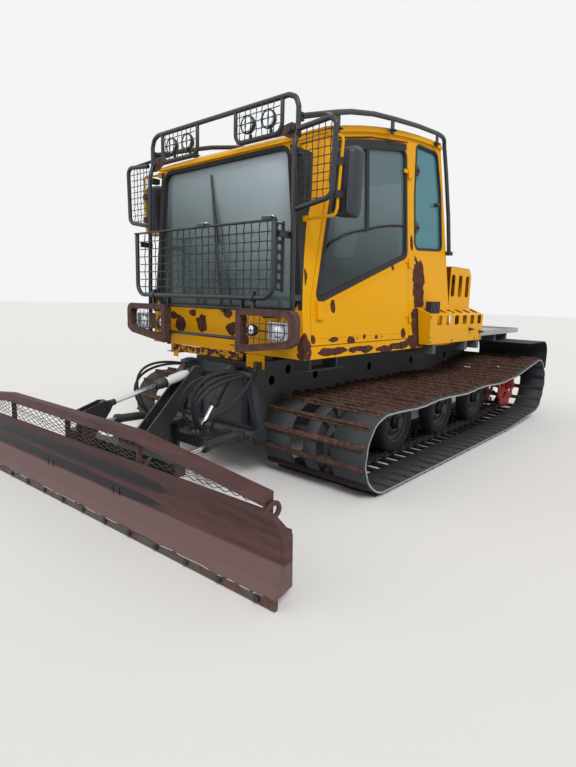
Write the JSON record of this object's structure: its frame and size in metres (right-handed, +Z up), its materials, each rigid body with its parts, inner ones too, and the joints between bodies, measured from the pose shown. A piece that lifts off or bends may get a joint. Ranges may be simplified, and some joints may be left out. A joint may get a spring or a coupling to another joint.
{
  "type": "compact snow groomer with a front blade",
  "caption": "Compact tracked snow groomer with a guarded two-seat cab, a rear engine cover and deck, and a hydraulic blade that lifts, turns and pitches in front.",
  "frame": {"origin": "ground level under the middle of the bounding box", "axes": "+X forward, towards the blade; +Y to the vehicle's left; +Z up"},
  "size_m": [5.5075, 3.2441, 2.8448],
  "materials": {
    "frame_paint": "satin",
    "black_paint": "satin",
    "guard_paint": "satin",
    "yellow_paint": "gloss",
    "white_paint": "gloss",
    "red_paint": "satin",
    "blade_paint": "worn",
    "rusty_steel": "rusted",
    "track_rubber": "matt",
    "tyre": "matt",
    "black_rubber": "matt",
    "glass": "clear",
    "engine_iron": "rough",
    "deck_aluminium": "brushed",
    "seat_cloth": "matt",
    "black_plastic": "matt",
    "rod_chrome": "polished",
    "worn_steel": "worn"
  },
  "bodies": {
    "vehicle": {"chassis": "frame_paint", "front_carrier": "frame_paint", "axles": "black_paint", "left_track": "track_rubber", "right_track": "track_rubber", "wheels": "tyre", "sprockets": "red_paint", "cab_floor": "yellow_paint", "cab_front": "yellow_paint", "cab_sides": "yellow_paint", "cab_rear": "yellow_paint", "roof": "yellow_paint", "cab_glass": "glass", "engine_cover": "yellow_paint", "engine_block": "engine_iron", "deck": "deck_aluminium", "fenders": "black_rubber", "seats": "seat_cloth", "dashboard": "black_plastic", "lamp_bar": "guard_paint", "roof_rails": "guard_paint", "bar_lamps": "black_paint", "side_guards": "guard_paint", "light_boxes": "rusty_steel", "mirrors": "black_plastic", "wiper": "black_paint", "steps": "frame_paint"},
    "left_door": {"left_door": "yellow_paint", "left_door_glass": "glass"},
    "right_door": {"right_door": "yellow_paint", "right_door_glass": "glass"},
    "screen_guard": {"screen_guard": "guard_paint"},
    "push_frame": {"push_frame": "black_paint"},
    "lift_barrels": {"lift_barrels": "black_paint"},
    "lift_rods": {"lift_rods": "rod_chrome"},
    "blade_frame": {"blade_frame": "black_paint"},
    "left_angle_barrel": {"left_angle_barrel": "black_paint"},
    "left_angle_rod": {"left_angle_rod": "rod_chrome"},
    "right_angle_barrel": {"right_angle_barrel": "black_paint"},
    "right_angle_rod": {"right_angle_rod": "rod_chrome"},
    "pitch_barrel": {"pitch_barrel": "white_paint"},
    "pitch_rod": {"pitch_rod": "rod_chrome"},
    "blade": {"blade": "blade_paint", "blade_screen": "worn_steel", "cutting_edge": "worn_steel"}
  },
  "joints": [
    {"name": "left_door_hinge", "type": "hinge", "parent": "vehicle", "child": "left_door", "pos_m": [-0.0247, 0.77833, 1.7], "axis": [-0.0595, -0.1082, 0.9923], "range_deg": [0, 75]},
    {"name": "right_door_hinge", "type": "hinge", "parent": "vehicle", "child": "right_door", "pos_m": [-0.0247, -0.77833, 1.7], "axis": [0.0595, -0.1082, -0.9923], "range_deg": [0, 75]},
    {"name": "screen_guard_hinge", "type": "hinge", "parent": "vehicle", "child": "screen_guard", "pos_m": [1.63, 0, 1.312], "axis": [0, 1, 0], "range_deg": [0, 95]},
    {"name": "blade_lift", "type": "hinge", "parent": "vehicle", "child": "push_frame", "pos_m": [1.52, 0, 0.33], "axis": [0, -1, 0], "range_deg": [-8, 18]},
    {"name": "blade_angle", "type": "hinge", "parent": "push_frame", "child": "blade_frame", "pos_m": [1.92, 0, 0.33], "axis": [0, 0, 1], "range_deg": [-18.7, 13.3]},
    {"name": "blade_pitch", "type": "hinge", "parent": "blade_frame", "child": "blade", "pos_m": [2.43942, 0.02449, 0.2], "axis": [-0.0471, 0.9989, 0], "range_deg": [-8, 8]},
    {"name": "lift_barrel_hinge", "type": "hinge", "parent": "vehicle", "child": "lift_barrels", "pos_m": [1.54, 0, 0.8], "axis": [0, -1, 0], "range_deg": [-1.76, 3.71]},
    {"name": "lift_rod_slide", "type": "slide", "parent": "lift_barrels", "child": "lift_rods", "axis": [0.5735, 0, -0.8192], "range_m": [-0.0933, 0.042]},
    {"name": "left_angle_barrel_hinge", "type": "hinge", "parent": "push_frame", "child": "left_angle_barrel", "pos_m": [1.62, 0.455, 0.372], "axis": [0, 0, 1], "range_deg": [-11.97, 8.57]},
    {"name": "left_angle_rod_slide", "type": "slide", "parent": "left_angle_barrel", "child": "left_angle_rod", "axis": [0.9826, 0.1858, 0], "range_m": [-0.1153, 0.1617]},
    {"name": "right_angle_barrel_hinge", "type": "hinge", "parent": "push_frame", "child": "right_angle_barrel", "pos_m": [1.62, -0.455, 0.372], "axis": [0, 0, 1], "range_deg": [-12.14, 8.69]},
    {"name": "right_angle_rod_slide", "type": "slide", "parent": "right_angle_barrel", "child": "right_angle_rod", "axis": [0.9919, -0.1273, 0], "range_m": [-0.1635, 0.1166]},
    {"name": "pitch_barrel_hinge", "type": "hinge", "parent": "blade_frame", "child": "pitch_barrel", "pos_m": [1.7255, 0.09094, 0.79], "axis": [-0.0471, 0.9989, 0], "range_deg": [-0.96, 0.96]},
    {"name": "pitch_rod_slide", "type": "slide", "parent": "pitch_barrel", "child": "pitch_rod", "axis": [0.9784, 0.0461, -0.2013], "range_m": [-0.0616, 0.0616]}
  ],
  "couplings": [
    {"joint": "lift_barrel_hinge", "follows": "blade_lift", "ratio": 0.19499},
    {"joint": "lift_rod_slide", "follows": "blade_lift", "m_per_rad": -0.29374},
    {"joint": "left_angle_barrel_hinge", "follows": "blade_angle", "ratio": 0.62955},
    {"joint": "left_angle_rod_slide", "follows": "blade_angle", "m_per_rad": -0.49235},
    {"joint": "right_angle_barrel_hinge", "follows": "blade_angle", "ratio": 0.63839},
    {"joint": "right_angle_rod_slide", "follows": "blade_angle", "m_per_rad": 0.498},
    {"joint": "pitch_barrel_hinge", "follows": "blade_pitch", "ratio": -0.09477},
    {"joint": "pitch_rod_slide", "follows": "blade_pitch", "m_per_rad": 0.43386}
  ]
}
